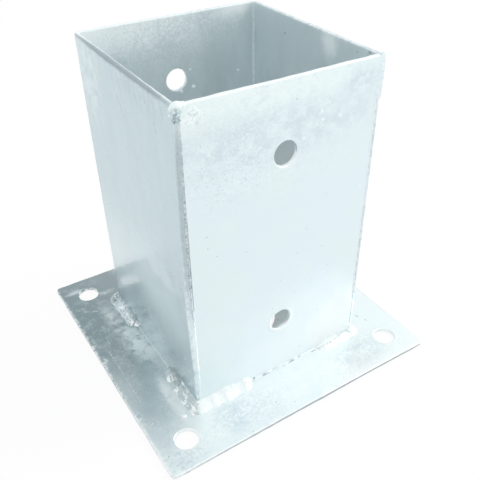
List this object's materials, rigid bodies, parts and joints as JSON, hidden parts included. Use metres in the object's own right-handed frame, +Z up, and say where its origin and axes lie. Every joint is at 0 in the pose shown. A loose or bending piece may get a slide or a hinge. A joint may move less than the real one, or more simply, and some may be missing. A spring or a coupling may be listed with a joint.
{
  "type": "timber post base",
  "caption": "Bolt-down galvanised steel base for a square timber post, with a welded square sleeve, cross-bolt holes and a drained base plate.",
  "frame": {"origin": "middle of the base plate's underside, on the surface that the base is bolted to", "axes": "+Z up, out of the sleeve's mouth; the flat closing plate of the sleeve faces -Y and the folded back wall faces +Y"},
  "size_m": [0.15, 0.15, 0.155],
  "materials": {
    "galvanised_sheet": "hot-dip galvanised sheet, satin, with a soft mottle",
    "galvanised_weld": "hot-dip galvanised weld metal, lumpy and bright"
  },
  "bodies": {
    "root": {"base_plate": "galvanised_sheet", "sleeve_channel": "galvanised_sheet", "front_plate": "galvanised_sheet", "foot_weld_front_left": "galvanised_weld", "foot_weld_front_right": "galvanised_weld", "foot_weld_back_left": "galvanised_weld", "foot_weld_back_right": "galvanised_weld", "seam_tack_left": "galvanised_weld", "seam_stitch_right": "galvanised_weld"}
  },
  "joints": []
}
